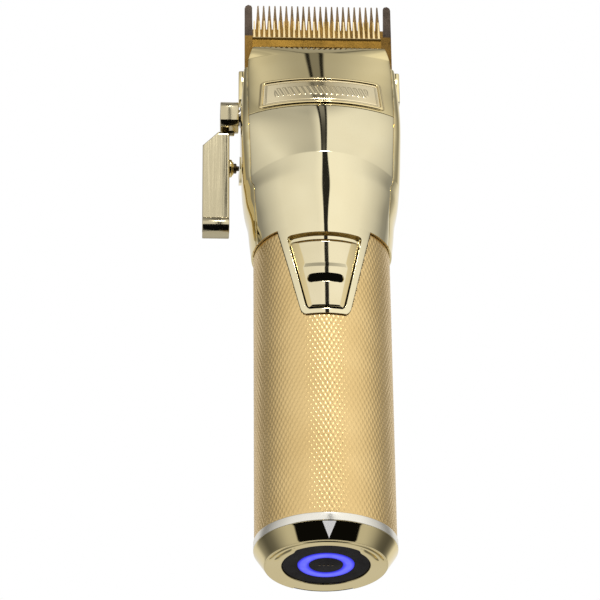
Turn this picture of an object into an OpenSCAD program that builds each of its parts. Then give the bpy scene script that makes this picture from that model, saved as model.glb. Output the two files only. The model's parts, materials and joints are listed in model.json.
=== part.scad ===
// Cordless hair clipper, standing on its base with the blade up.
// +Z runs up the body, the switch side faces -Y and the taper lever is at -X.
// The origin is the centre of the flat base.

/* [Body] */
// Outer radius of the knurled grip sleeve
sleeve_r = 19.95; // [19.9:0.05:20]
// Thickness of the moulded and pressed covers
wall = 1.2; // [1:0.1:1.3]
// Facets round one cover, from seam to seam
cover_steps = 24; // [16:4:32]

/* [Base] */
// Outer radius of the black dock plate
dock_r = 12.25; // [11.5:0.25:12.5]
// Number of charge contacts in the dock plate
contact_count = 4; // [3:1:4]

/* [Switch] */
// How far the power switch slides up
switch_travel = 1.8; // [1:0.2:1.8]

/* [Lever] */
// Distance from the lever pivot down to the end of its thumb lip
lever_len = 41.4; // [38:0.2:44]
// Width of the lever arm, out from the body
lever_w = 8; // [7:0.5:9]
// Thickness of the lever arm, front to back
lever_t = 3.2; // [2.6:0.2:3.6]

/* [Blades] */
// Slender teeth between the two guards of the still blade
still_teeth = 22; // [18:1:24]
// Teeth of the moving cutter
cutter_teeth = 26; // [22:1:28]
// How far the cutter swings to each side
stroke = 1.2; // [1:0.1:1.3]

/* [Hidden] */
$fn = 96;

GOLD = [0.83, 0.72, 0.48];
PALE = [0.90, 0.86, 0.76];
BLACK = [0.10, 0.10, 0.11];
STEEL = [0.70, 0.70, 0.70];

// Heights of the main joints between pieces
cap_top = 4.6;
ring_top = 7.1;
sleeve_top = 98.5;
cover_z = 98.75;
nose_z = 141.5;
lip_z = 166.9;
nose_top = 171.6;
cheek_top = 163.2;

// Head section against height: half width, front and rear depth
HALF_WIDTH = [[60, 20.3], [98.6, 20.3], [98.8, 20.55], [104, 21.1], [110, 21.6], [116, 22.6], [123.4, 23.25],
              [132, 23.6], [141.5, 23.8], [150, 23.6], [158, 23.1], [163, 22.75], [166.9, 22.1], [171.6, 21.4]];
FRONT = [[60, 20.3], [98.6, 20.3], [98.8, 20.6], [123.4, 20.2], [141.5, 17], [155, 11.8], [166.9, 6.9],
         [171.6, 3.5]];
REAR = [[60, 20.3], [98.6, 20.3], [98.8, 20.55], [123.4, 20.3], [134, 19], [150, 11.6], [163.5, 7.6]];

// Squareness of the rear and of the front, where 2 is round, and how far the front bows
REAR_SQUARE = [[60, 2], [98.8, 2], [110, 2.25], [123.4, 2.7], [141.5, 3.5], [155, 3.7], [167, 3.7]];
FRONT_SQUARE = [[60, 2], [98.8, 2], [104, 2.1], [110, 2.4], [116, 3], [123.4, 4], [130, 7], [141.5, 11]];
BOW = [[98.8, 0], [104, 0.03], [110, 0.12], [116, 0.3], [123.4, 0.5], [130, 0.46], [141.5, 0.4],
       [155, 0.47], [166.9, 0.54], [171.6, 0.12]];

// How far a line round the head dips at its sides, against its height at the middle
DIP = [[98.8, 0], [112, 1], [123.4, 2.4], [134, 0.8], [141.5, 0]];
dip_at = 21.6;

// Seam between the front covers and the rear housing: its distance from the middle plane
SEAM = [[98.75, 19.2], [108, 19.5], [119, 20], [121.5, 20.9], [129, 21.1], [141.5, 21.6], [148, 21.7],
        [160, 21.7], [166.9, 21.4], [171.6, 20]];

// Front tab that frames the switch: half width against height
TAB = [[69.3, 5.6], [69.5, 6.1], [70.1, 6.7], [71, 7.15], [98.7, 13.45]];
WINDOW = [[70.8, 4.7], [71.3, 5.3], [72.2, 5.8], [95, 10.75], [95.6, 10.5], [95.85, 9.8]];

// Knob of the slide switch under the power button, at its lower stop
knob_z = [80, 84];

// Lever pivot and its cam
pivot = [0, 147.5];
hub_r = 4.75;
cam_throw = 2.2;
cam_pin_r = 1;
cam_start = 157.5;
cam_z = pivot[1] + cam_throw * sin(cam_start);
shaft_r = 2.45;
detent_drop = 17.9;

// Motor and drive
motor_y = -4;
motor_r = 12;
motor_z = [103.9, 132.6];
drive_throw = 1.2;
pin_r = 0.9;
fit = 0.05;

// Blade planes, front to back
cutter_y = [-1.6, 0.95];
still_y = [1, 4.2];
still_tip = 189.7;
still_root = 180.6;
cutter_tip = 183.3;
cutter_root = 176.2;
cutter_shift = -0.5;

// ---------- Shared shapes ----------

module tube(r_out, r_in, z0, z1)
  rotate_extrude() translate([r_in, z0]) square([r_out - r_in, z1 - z0]);

module rod_x(x0, x1, r, y = 0, z = 0)
  translate([x0, y, z]) rotate([0, 90, 0]) cylinder(h = x1 - x0, r = r);

module rod_y(y0, y1, r, x = 0, z = 0)
  translate([x, y0, z]) rotate([-90, 0, 0]) cylinder(h = y1 - y0, r = r);

module rod_z(z0, z1, r, x = 0, y = 0)
  translate([x, y, z0]) cylinder(h = z1 - z0, r = r);

module block(low, high)
  translate(low) cube(high - low);

// An outline drawn in X and Z, given its depth along Y
module slab_y(y0, y1)
  translate([0, y1, 0]) rotate([90, 0, 0]) linear_extrude(y1 - y0) children();

// An outline drawn in Y and Z, given its depth along X
module slab_x(x0, x1)
  translate([x0, 0, 0]) rotate([90, 0, 90]) linear_extrude(x1 - x0) children();

// A symmetric outline from [height, half width] pairs, grown by a margin
function mirrored(rows, grow = 0) =
  concat([for (row = rows) [row[1] + grow, row[0]]],
         [for (i = [len(rows) - 1:-1:0]) [-rows[i][1] - grow, rows[i][0]]]);

// ---------- Head surface ----------

// A point of the head section at angle t, moved inwards by d
function head_point(z, t, d) =
  let (rear = sin(t) > 0,
       a = lookup(z, HALF_WIDTH) - d,
       b = lookup(z, rear ? REAR : FRONT) - d,
       p = 2 / lookup(z, rear ? REAR_SQUARE : FRONT_SQUARE),
       u = pow(abs(cos(t)), p),
       bow = rear ? 1 : 1 - lookup(z, BOW) * u * u,
       x = a * sign(cos(t)) * u)
  [x, b * bow * sign(sin(t)) * pow(abs(sin(t)), p), z - lookup(z, DIP) * pow(x / dip_at, 2)];

// Angle past the X axis at which the front's half width has come in to x
function seam_angle(z, x) =
  acos(min(1, pow(x / lookup(z, HALF_WIDTH), lookup(z, FRONT_SQUARE) / 2)));

// A closed sheet between two depths under the head surface.
// Each row of spans is [height, angles].
module head_sheet(spans, d_out, d_in) {
  n = len(spans[0][1]);
  steps = n - 1;
  rows = len(spans);
  function ring(row, d) = [for (t = row[1]) head_point(row[0], t, d)];
  outer = [for (row = spans) each ring(row, d_out)];
  inner = [for (row = spans) each ring(row, d_in)];
  m = rows * n;
  skin = [for (i = [0:rows - 2], j = [0:steps - 1])
    let (a = i * n + j, b = a + 1, c = a + n, d = c + 1)
    each [[a, c, b], [b, c, d], [m + a, m + b, m + c], [m + b, m + d, m + c]]];
  sides = [for (i = [0:rows - 2])
    let (a = i * n, c = a + n, b = a + steps, d = c + steps)
    each [[a, m + a, c], [c, m + a, m + c], [b, d, m + b], [d, m + d, m + b]]];
  ends = [for (j = [0:steps - 1])
    let (a = j, c = m - n + j)
    each [[a, a + 1, m + a], [a + 1, m + a + 1, m + a], [c, m + c, c + 1], [c + 1, m + c, m + c + 1]]];
  polyhedron(concat(outer, inner), concat(skin, sides, ends));
}

// A row across the front, between two seams given as half widths
function front_span(z, x, steps = cover_steps) =
  [z, [for (j = [0:steps]) let (at = x * (2 * j / steps - 1), t = seam_angle(z, abs(at)))
         at < 0 ? 180 + t : 360 - t]];

// A row round the rear, from seam to seam
function rear_span(z, x, steps = 2 * cover_steps) =
  let (t = seam_angle(z, x)) [z, [for (j = [0:steps]) -t + (180 + 2 * t) * j / steps]];

// ---------- Base ----------

module lobed_disc(r, grow = 0) {
  circle(r + grow);
  intersection() {
    circle(r + 1 + grow);
    translate([-8.85 - grow, -20]) square([17.7 + 2 * grow, 20]);
  }
}

module base_groove(r0, r1, from, sweep, deep)
  rotate([0, 0, from]) rotate_extrude(angle = sweep) translate([r0, -1]) square([r1 - r0, 1 + deep]);

module end_cap() color(GOLD) difference() {
  rotate_extrude() polygon([[9, 1.9], [11, 1.9], [11, 0], [17.2, 0], [20.2, cap_top], [18.6, cap_top],
                            [18.6, 9.4], [17.4, 9.4], [17.4, 3.4], [9, 3.4]]);
  translate([0, 0, -1]) linear_extrude(2.9) lobed_disc(dock_r, 0.06);
  base_groove(15.8, 16.5, 190, 160, 0.5);
  for (side = [191, 307]) base_groove(13.6, 14.9, side, 42, 0.6);
  base_groove(16.4, 21, 60, 60, 1.6);
  for (turn = [45:90:315]) rotate([0, 0, turn]) rod_z(1, 5, 1.15, 11);
}

module index_mark() color("white") intersection() {
  rotate_extrude() polygon([[17.49, 0.4], [20.07, 4.4], [20.22, 4.4], [17.64, 0.4]]);
  slab_y(-21, -10) polygon([[-1.9, 4.4], [1.9, 4.4], [0, 0.4]]);
}

module trim_ring() color(PALE) tube(20.2, 18.65, cap_top, ring_top);

module dock_plate() color(BLACK) difference() {
  union() {
    translate([0, 0, 0.35]) linear_extrude(1.5) difference() {
      lobed_disc(dock_r);
      circle(7.95);
    }
    rod_z(1.6, 3.3, 8.95);
    rod_z(0.35, 1.7, 4.75);
  }
  for (i = [0:contact_count - 1]) rod_z(0, 4, 0.42, (i - (contact_count - 1) / 2) * 1.2);
}

module light_ring() color([0.35, 0.35, 1]) tube(7.9, 4.8, 0.3, 1.55);

module charge_contacts() color(PALE)
  for (i = [0:contact_count - 1]) rod_z(0.25, 3.98, 0.36, (i - (contact_count - 1) / 2) * 1.2);

module indicator_board() color([0.1, 0.35, 0.2]) difference() {
  union() {
    rod_z(4, 5.2, 16.8);
    for (turn = [0:90:270]) rotate([0, 0, turn]) block([5.6, -0.8, 3.4], [7.2, 0.8, 4.1]);
  }
  for (turn = [45:90:315]) rotate([0, 0, turn]) rod_z(3, 7, 1.1, 11);
}

module cap_screws() color(STEEL)
  for (turn = [45:90:315]) rotate([0, 0, turn]) {
    rod_z(2, 5.3, 1, 11);
    rod_z(5.22, 6.4, 1.9, 11);
  }

// ---------- Grip and power ----------

module grip_sleeve() color(GOLD) difference() {
  tube(sleeve_r, 18.75, ring_top + 0.02, sleeve_top);
  slab_y(-25, -5) polygon(mirrored(concat(TAB, [[99, 13.5]]), 0.2));
}

module chassis_tube() color(BLACK) difference() {
  union() {
    tube(18.6, 17.4, 9.45, sleeve_top);
    tube(18.2, 16.6, 97.6, 101.8);
    intersection() {
      rod_z(20, 96, 18);
      for (side = [-1, 1]) block([side * 13.5 - 2.5, -12.8, 20], [side * 13.5 + 2.5, -11.15, 96]);
    }
  }
  block([-12.9, -25, 67.5], [12.9, -12.75, 110]);
  for (side = [-1, 1]) block([side * 12.7 - 0.6, -11.05, 0], [side * 12.7 + 0.6, -9, 110]);
}

module battery_cell() color([0.15, 0.35, 0.6]) translate([0, 6, 0]) {
  rod_z(12, 76, 9.2);
  rod_z(75.9, 77.2, 3.2);
}

module battery_cradle() color(BLACK) translate([0, 6, 0]) difference() {
  union() {
    tube(10.4, 9.35, 10.4, 78.6);
    rod_z(9.6, 10.6, 10.4);
  }
  block([-12, -12, 11.4], [12, -1, 77]);
  block([-12, -12, 9], [12, -9.2, 80]);
  rod_z(9, 12, 2);
}

module battery_tabs() color(PALE) translate([0, 6, 0]) {
  difference() {
    rod_z(11.2, 11.95, 7);
    rod_z(11, 12.5, 4);
  }
  rod_z(77.25, 77.9, 6);
}

module circuit_board() color([0.1, 0.35, 0.2]) {
  block([-12, -11, 18], [12, -9.4, 98]);
  for (z = [30, 42, 60]) block([-4, -9.5, z], [3, -8.2, z + 5]);
  block([-8, -12.4, 26], [-2, -10.9, 34]);
  rod_y(-13.6, -10.9, 2.6, 6, 46);
}

module slide_switch() color(STEEL) difference() {
  block([-5, -14.4, 75], [5, -11.05, 91]);
  block([-1.6, -15, 78], [1.6, -12.2, 88]);
}

module power_wires() color("firebrick")
  for (side = [-1, 1]) {
    rod_z(90, 101, 0.7, side * 6, -8.6);
    translate([side * 6, -8.6, 101]) sphere(0.7);
    rod_z(8, 20, 0.7, side * 6, -8.6);
    translate([side * 6, -8.6, 8]) sphere(0.7);
  }

// ---------- Covers ----------

module front_cover() color(PALE) difference() {
  head_sheet(concat([for (row = TAB) front_span(row[0], row[1])],
                    [for (z = [cover_z, 104, 108, 113, 119, 121.5, 123.4, 129, 135, nose_z - 0.1])
                       front_span(z, lookup(z, SEAM) - 0.08)]),
             0, wall);
  slab_y(-25, -10) polygon(mirrored(WINDOW));
}

module switch_tray() color(BLACK) difference() {
  intersection() {
    tube(18.7, 17.55, 67.8, 98.2);
    slab_y(-25, -10) polygon(mirrored([[67.8, 8], [98.2, 11.9]]));
  }
  block([-2.2, -25, knob_z[0] - 3.5], [2.2, -10, knob_z[1] + switch_travel + 5.7]);
}

module rear_housing() color(GOLD) {
  heights = [cover_z, 104, 108, 113, 119, 121.5, 123.4, 129, 134, 138, 142, 146, 150, 156, 160, cheek_top];
  difference() {
    union() {
      head_sheet([for (z = heights) rear_span(z, lookup(z, SEAM) + 0.08)], 0, wall);
      for (side = [-1, 1]) block([side * 23.25 - 1.05, -2.2, 152.5], [side * 23.25 + 1.05, 2.2, cheek_top]);
      // Rail that the detent pin runs over, an arc about the lever pivot
      about_pivot() rotate([0, 90, 0]) rotate([0, 0, -9]) rotate_extrude(angle = 62)
        translate([detent_drop - 2.4, -24]) square([4.8, 2.6]);
      for (side = [-1, 1]) {
        rod_y(17.45, 18.3, 3.4, side * 7, 110);
        rod_y(4.6, 13.1, 2.8, side * 9, 142.5);
      }
    }
    // The back of the blade and its screws show through this opening
    block([-20.9, 0.5, 150.4], [20.9, 30, 170]);
    rod_x(-30, -18, shaft_r + 0.7, pivot[0], pivot[1]);
    for (side = [-1, 1]) {
      rod_y(10, 30, 1.3, side * 7, 110);
      rod_y(18.9, 30, 2.5, side * 7, 110);
      rod_y(4, 11, 1.25, side * 9, 142.5);
    }
    for (turn = [0:15:45])
      about_pivot() rotate([turn, 0, 0]) rod_x(-25, -23.6, 1, 0, -detent_drop);
  }
}

module about_pivot()
  translate([0, pivot[0], pivot[1]]) children();

module housing_screws() color(STEEL)
  for (side = [-1, 1]) difference() {
    union() {
      rod_y(12.6, 19, 1.2, side * 7, 110);
      rod_y(18.95, 19.6, 2.35, side * 7, 110);
    }
    block([side * 7 - 1.8, 19.3, 109.75], [side * 7 + 1.8, 20, 110.25]);
  }

module nose_cover() color(GOLD)
  head_sheet([for (z = [nose_z + 0.1, 145, 150, 155, 160, 164, lip_z, nose_top])
                front_span(z, lookup(z, SEAM) - 0.08)],
             0, wall);

module badge_frame() color(PALE) difference() {
  head_sheet([for (z = [142.2, 146, 150, 154.7]) front_span(z, 18.95, 16)], -0.55, -0.04);
  slab_y(-25, 0) polygon(mirrored([[143.5, 17], [144.2, 17.6], [152.7, 17.6], [153.4, 17]]));
}

module badge_plate() color(GOLD) intersection() {
  head_sheet([for (z = [142.6, 146, 150, 154.2]) front_span(z, 18.2, 16)], -0.3, -0.04);
  slab_y(-25, 0) polygon(mirrored([[143.55, 16.95], [144.25, 17.55], [152.65, 17.55], [153.35, 16.95]]));
}

// ---------- Motor ----------

module motor_cradle() color(BLACK) difference() {
  union() {
    translate([0, motor_y, 0]) tube(13.6, motor_r + 0.1, 106, 128);
    for (side = [-1, 1]) block([side * 7 - 2.6, 5.5, 106.5], [side * 7 + 2.6, 17.2, 113.5]);
    for (side = [-1, 1]) block([side * 16 - 3.2, -5, 108], [side * 16 + 3.2, -2, 126]);
  }
  translate([0, motor_y, 0]) rod_z(100, 130, motor_r + 0.1);
  for (side = [-1, 1]) rod_y(11.5, 20, 1.25, side * 7, 110);
}

module motor_can() color(STEEL) translate([0, motor_y, 0]) difference() {
  rod_z(motor_z[0], motor_z[1], motor_r);
  rod_z(motor_z[0] - 1, motor_z[1] - 1, motor_r - 0.8);
  rod_z(motor_z[0], motor_z[1] + 1, 3.05);
  for (turn = [0, 180]) rotate([0, 0, turn]) rod_z(motor_z[0], motor_z[1] + 1, 1.1, 8);
}

module motor_magnets() color([0.25, 0.25, 0.27]) translate([0, motor_y, 0])
  for (turn = [-60, 120]) rotate([0, 0, turn]) rotate_extrude(angle = 120)
    translate([9.3, 109]) square([1.85, 19]);

module motor_end_cap() color(BLACK) translate([0, motor_y, 0]) difference() {
  union() {
    rod_z(102, 103.85, motor_r);
    rod_z(103.8, 105, 11.15);
  }
  rod_z(101, 107, 3.05);
}

module motor_bushes() color([0.72, 0.55, 0.3]) translate([0, motor_y, 0]) {
  tube(3, 1.2, 102.2, 105.4);
  tube(3, 1.2, 130.4, 133);
}

module motor_terminals() color(PALE)
  for (side = [-1, 1]) block([side * 6 - 1, -7.6, 99.6], [side * 6 + 1, -7.1, 101.98]);

module motor_plate() color(STEEL) difference() {
  head_slab(133.1, 134.9, wall + 0.85);
  translate([0, motor_y, 0]) {
    rod_z(130, 137, 3.6);
    for (turn = [0, 180]) rotate([0, 0, turn]) rod_z(130, 137, 1.1, 8);
  }
}

// A flat plate that fills the head section between two heights
module head_slab(z0, z1, inset)
  translate([0, 0, z0]) linear_extrude(z1 - z0)
    polygon([for (t = [0:7.5:352.5]) let (p = head_point(z1 + 1, t, inset)) [p[0], p[1]]]);

module motor_screws() color(STEEL) translate([0, motor_y, 0])
  for (turn = [0, 180]) rotate([0, 0, turn]) {
    rod_z(129.6, 135, 1, 8);
    rod_z(134.95, 136, 1.9, 8);
  }

module motor_shaft() color(STEEL) translate([0, motor_y, 0]) rod_z(101.6, 140, 1.15);

module rotor_core() color([0.55, 0.3, 0.15]) translate([0, motor_y, 0]) difference() {
  rod_z(110.5, 127, 8.7);
  for (turn = [0:60:300]) rotate([0, 0, turn]) block([5, -0.6, 110], [10, 0.6, 128]);
  rod_z(110, 128, 1.15);
}

module commutator() color([0.72, 0.45, 0.25]) translate([0, motor_y, 0]) tube(2.6, 1.15, 106, 110);

module eccentric() color(PALE) translate([0, motor_y, 0]) difference() {
  union() {
    rod_z(136.4, 140.8, 4.4);
    rod_z(140.7, 155, pin_r, drive_throw);
  }
  rod_z(136, 140, 1.15);
}

// ---------- Blades ----------

module blade_frame() color(STEEL) difference() {
  block([-19.8, -3, 138], [19.8, 4.5, 163]);
  block([-17.8, -4, 137], [17.8, 1.15, 151.4]);
  block([-11.4, -4, 137], [11.4, 1.15, 170]);
  block([-25, 0.97, 150.3], [25, 10, 170]);
  rod_x(-21, -17, cam_throw + cam_pin_r + 0.3, pivot[0], pivot[1]);
  for (side = [-1, 1]) {
    rod_y(-2, 5, 1.25, side * 14.5, 157);
    rod_y(0, 6, 1.25, side * 9, 142.5);
    rod_y(0, 2.7, 2.35, side * 9, 142.5);
  }
}

module frame_screws() color(STEEL)
  for (side = [-1, 1]) {
    rod_y(2.6, 9.5, 1.2, side * 9, 142.5);
    rod_y(1.25, 2.65, 2.25, side * 9, 142.5);
  }

// One tapered tooth of a comb outline, from its right root to its left root
function tooth(x, root, tip, w_root, w_tip) =
  [[x + w_root / 2, root], [x + w_tip / 2, tip], [x - w_tip / 2, tip], [x - w_root / 2, root]];

// Teeth in a row, from the last one at the right to the first one at the left
function comb(count, pitch, root, tip, w_root, w_tip) =
  [for (i = [count - 1:-1:0]) each tooth((i - (count - 1) / 2) * pitch, root, tip, w_root, w_tip)];

// The wide guard tooth at each end of the still blade, from its outer foot to its inner foot
GUARD = [[22.4, 163.5], [22.4, still_tip - 1.4], [22.1, still_tip - 0.5], [21.3, still_tip],
         [20.4, still_tip - 0.3], [20.1, still_tip - 1], [20, still_root]];

module still_blade() color([0.35, 0.30, 0.28]) difference() {
  intersection() {
    slab_y(still_y[0], still_y[1])
      polygon(concat([[-20.6, 163.5], [-20.6, 150.5], [20.6, 150.5], [20.6, 163.5]],
                     GUARD,
                     comb(still_teeth, 1.742, still_root, still_tip - 0.3, 1.5, 0.4),
                     [for (i = [len(GUARD) - 1:-1:0]) [-GUARD[i][0], GUARD[i][1]]]));
    slab_x(-25, 25) polygon([[1, 150], [1, 190], [1.7, 190], [still_y[1], 170], [still_y[1], 150]]);
  }
  for (side = [-1, 1]) rod_y(0, 6, 1.3, side * 14.5, 157);
}

module blade_screws() color(STEEL)
  for (side = [-1, 1]) difference() {
    union() {
      rod_y(-1.8, 4.5, 1.2, side * 14.5, 157);
      rod_y(4.25, 5.9, 3, side * 14.5, 157);
    }
    block([side * 14.5 - 3.2, 5.3, 156.6], [side * 14.5 + 3.2, 6.5, 157.4]);
    block([side * 14.5 - 0.4, 5.3, 153.8], [side * 14.5 + 0.4, 6.5, 160.2]);
  }

module cutter_blade() color([0.55, 0.42, 0.25]) difference() {
  intersection() {
    slab_y(cutter_y[0], cutter_y[1]) translate([cutter_shift, 0])
      polygon(concat([[-19.6, cutter_root], [-19.6, 166.5], [-18.1, 165], [-9.4, 165], [-9.4, 152.2],
                      [9.4, 152.2], [9.4, 165], [18.1, 165], [19.6, 166.5], [19.6, cutter_root]],
                     comb(cutter_teeth, 1.52, cutter_root, cutter_tip, 0.66, 0.3)));
    slab_x(-25, 25) polygon([[-1.6, 150], [-1.6, 175], [0.35, 184], [0.95, 184], [0.95, 150]]);
  }
  for (side = [-1, 1]) rod_y(-3, 2, 0.85, side * 7.2, 155);
}

module drive_yoke() color(BLACK) difference() {
  union() {
    block([-5.6, -7.4, 152.6], [5.6, -1.65, 158.2]);
    block([-8.6, -3.2, 153.4], [8.6, -1.65, 156.6]);
  }
  slot_half = drive_throw + pin_r + stroke + 0.2;
  block([-slot_half, -6.7, 150], [slot_half, 0, 160]);
  for (side = [-1, 1]) rod_y(-4, 0, 0.85, side * 7.2, 155);
}

module yoke_screws() color(STEEL)
  for (side = [-1, 1]) {
    rod_y(-3.3, 0.8, 0.8, side * 7.2, 155);
    rod_y(-4.1, -3.22, 1.2, side * 7.2, 155);
  }

// ---------- Taper lever ----------

module pivot_bush() color(STEEL)
  translate([0, pivot[0], pivot[1]]) rotate([0, 90, 0]) tube(3.1, shaft_r + fit, -23.9, -20.2);

module taper_lever() {
  low = pivot[1] - lever_len;
  x0 = -27 - lever_w;
  color(PALE) difference() {
    union() {
      rod_x(-29.8, -24.3, hub_r, pivot[0], pivot[1]);
      slab_y(-lever_t / 2, lever_t / 2)
        polygon([[x0, low + 2], [x0, 136.8], [x0 + 5.6, 142.6], [-27, 142.6], [-27, low + 2]]);
      slab_y(-lever_t / 2, lever_t / 2)
        polygon([[-29.4, 141.4], [-29.4, pivot[1]], [-24.3, pivot[1]], [-25.6, 141.4]]);
      intersection() {
        rod_x(x0, -27, 2.7, -lever_t / 2 + 0.4, low + 2.7);
        block([x0, -5, low - 1], [-27, lever_t / 2, low + 6]);
      }
    }
    rod_x(-33.6, -26, 1.6, 0, pivot[1] - detent_drop);
    rod_x(-30, -23, shaft_r, pivot[0], pivot[1]);
  }
}

module lever_pivot() color(STEEL) {
  rod_x(-29.6, -18.9, shaft_r, pivot[0], pivot[1]);
  rod_x(-19, -15.6, cam_pin_r, cam_throw * cos(cam_start), cam_z);
}

module detent_bush() color(PALE)
  translate([0, 0, pivot[1] - detent_drop]) rotate([0, 90, 0]) tube(2.7, 1.55, -27, -25.8);

module detent_spring() color(STEEL)
  translate([0, 0, pivot[1] - detent_drop]) rotate([0, 90, 0])
    for (x = [-33.2:0.55:-31.1]) rotate_extrude($fn = 48) translate([1.15, x]) circle(0.27, $fn = 16);

module detent_pin() color(STEEL) {
  rod_x(-30, -24.8, 1.5, 0, pivot[1] - detent_drop);
  rod_x(-24.85, -24.12, 0.75, 0, pivot[1] - detent_drop);
}

module taper_carriage() color(BLACK) difference() {
  union() {
    block([-17.5, -1.2, 143], [17.5, 0.9, 150.2]);
    block([-17.5, -4.4, 143.6], [-15.2, 0.9, 150.2]);
    for (side = [-1, 1]) {
      block([side * 13 - 0.6, -5.2, 144.2], [side * 13 + 0.6, 0, 147.8]);
      rod_x(side > 0 ? 9 : -13.2, side > 0 ? 13.2 : -9, 0.9, -4, 146);
    }
  }
  for (y = [-2.25, -1.95]) rod_x(-20, -15, 1.07, y, cam_z);
  block([-20, -2.25, cam_z - 1.07], [-15, -1.95, cam_z + 1.07]);
}

module tension_springs() color(STEEL)
  for (side = [-1, 1]) {
    translate([side * 10.5, -4, 146]) rotate([0, 90, 0]) rotate_extrude()
      for (x = [-0.9, 0, 0.9]) translate([1.6, x]) circle(0.5);
    rod_z(146, 167.8, 0.42, side * 10.5, -2.4);
  }

// ---------- Power switch ----------

module power_switch() color(PALE) {
  difference() {
    intersection() {
      union() {
        tube(20.6, 19.05, 72.1, 93.7);
        tube(21.2, 19.05, 85.2, 93.7);
      }
      slab_y(-25, -10) polygon(mirrored([[72.1, 4.6], [72.8, 5.35], [92.8, 9.75], [93.7, 8.8]]));
    }
    slab_y(-25, -20) union() {
      for (side = [-1, 1]) translate([side * 3.7, 80.8]) circle(1.3);
      translate([-3.7, 79.5]) square([7.4, 2.6]);
    }
  }
  block([-1.6, -19.4, 79], [1.6, -17.2, 85]);
}

module switch_knob() color(BLACK) block([-1.3, -17.18, knob_z[0]], [1.3, -12.3, knob_z[1]]);

end_cap();
index_mark();
trim_ring();
dock_plate();
light_ring();
charge_contacts();
indicator_board();
cap_screws();
grip_sleeve();
chassis_tube();
battery_cell();
battery_cradle();
battery_tabs();
circuit_board();
slide_switch();
power_wires();
front_cover();
switch_tray();
rear_housing();
housing_screws();
nose_cover();
badge_frame();
badge_plate();
motor_cradle();
motor_can();
motor_magnets();
motor_end_cap();
motor_bushes();
motor_terminals();
motor_plate();
motor_screws();
blade_frame();
frame_screws();
still_blade();
blade_screws();
pivot_bush();
taper_lever();
lever_pivot();
detent_bush();
detent_spring();
detent_pin();
taper_carriage();
tension_springs();
cutter_blade();
drive_yoke();
yoke_screws();
motor_shaft();
rotor_core();
commutator();
eccentric();
power_switch();
switch_knob();
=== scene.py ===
"""Looks for the cordless hair clipper: fine meshes, finishes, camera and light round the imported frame."""

import json
import math

import bmesh
import bpy
import numpy as np
from mathutils import Matrix, Vector


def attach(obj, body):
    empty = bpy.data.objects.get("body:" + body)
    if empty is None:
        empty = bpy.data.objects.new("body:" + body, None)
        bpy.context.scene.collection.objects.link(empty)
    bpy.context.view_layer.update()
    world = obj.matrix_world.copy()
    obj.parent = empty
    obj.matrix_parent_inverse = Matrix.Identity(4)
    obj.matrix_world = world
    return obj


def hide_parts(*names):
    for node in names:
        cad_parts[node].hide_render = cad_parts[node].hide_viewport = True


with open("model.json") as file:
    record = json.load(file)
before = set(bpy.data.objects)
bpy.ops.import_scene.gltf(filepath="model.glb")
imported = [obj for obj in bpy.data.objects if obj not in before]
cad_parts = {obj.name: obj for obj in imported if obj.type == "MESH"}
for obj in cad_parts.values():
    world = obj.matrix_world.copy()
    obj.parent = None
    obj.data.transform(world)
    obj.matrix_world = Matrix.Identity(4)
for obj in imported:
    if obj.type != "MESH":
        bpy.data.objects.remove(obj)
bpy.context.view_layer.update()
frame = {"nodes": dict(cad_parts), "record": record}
nodes = frame["nodes"]
MM = 0.001


# ----- Curves and surfaces, in millimetres -----

def flowing(rows, creases=()):
    """A smooth curve through [height, value] rows. At a crease its slope may jump."""
    z = np.array([r[0] for r in rows], float)
    v = np.array([r[1] for r in rows], float)
    step = np.diff(z)
    slope = np.diff(v) / step
    into = np.concatenate([[slope[0]], slope])
    out = np.concatenate([slope, [slope[-1]]])
    mid = (step[1:] * slope[:-1] + step[:-1] * slope[1:]) / (step[1:] + step[:-1])
    for k in range(1, len(z) - 1):
        if z[k] not in creases:
            into[k] = out[k] = mid[k - 1]

    def at(h):
        h = np.asarray(h, float)
        i = np.clip(np.searchsorted(z, h, side="right") - 1, 0, len(z) - 2)
        t = np.clip((h - z[i]) / step[i], 0, 1)
        return (v[i] * (2 * t**3 - 3 * t**2 + 1) + step[i] * out[i] * (t**3 - 2 * t**2 + t)
                + v[i + 1] * (3 * t**2 - 2 * t**3) + step[i] * into[i + 1] * (t**3 - t**2))
    return at


def smooth(x, low, high):
    """Nought below low, one above high, with a soft slope between."""
    t = np.clip((np.asarray(x, float) - low) / (high - low), 0, 1)
    return t * t * (3 - 2 * t)


def straight(rows):
    """Straight lines through [height, value] rows, level beyond the ends."""
    z, v = zip(*rows)
    return lambda h: np.interp(h, z, v)


# Heights of the grip's upper joint, the crease, the nose's joint, its lip and top, and the rear's cheeks
COVER_Z, CREASE, NOSE_Z, LIP_Z, NOSE_TOP, CHEEK_TOP = 98.75, 123.4, 141.5, 166.9, 171.6, 163.2
WINDOW_LOW, WINDOW_TOP = 70.8, 95.85
WALL = 1.2
SEAM_GAP = 0.03

# Half the head's width, and how far its front and its rear lie from the middle plane
half = flowing([[69, 20.3], [COVER_Z, 20.55], [104, 21.1], [110, 21.6], [116, 22.6], [CREASE, 23.25],
                [132, 23.6], [NOSE_Z, 23.8], [150, 23.6], [158, 23.1], [163, 22.75], [LIP_Z, 22.1],
                [NOSE_TOP, 21.4]], (COVER_Z,))
front = flowing([[69, 20.3], [COVER_Z, 20.6], [CREASE, 20.2], [NOSE_Z, 17], [155, 11.8], [LIP_Z, 6.9],
                 [167.9, 6.3], [169.5, 5.15], [170.7, 4.13], [NOSE_TOP, 3.2]], (COVER_Z, CREASE, LIP_Z))
rear = flowing([[COVER_Z, 20.45], [111, 20.44], [CREASE, 20.25], [134, 19], [150, 11.6], [163.5, 7.6]])
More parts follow.
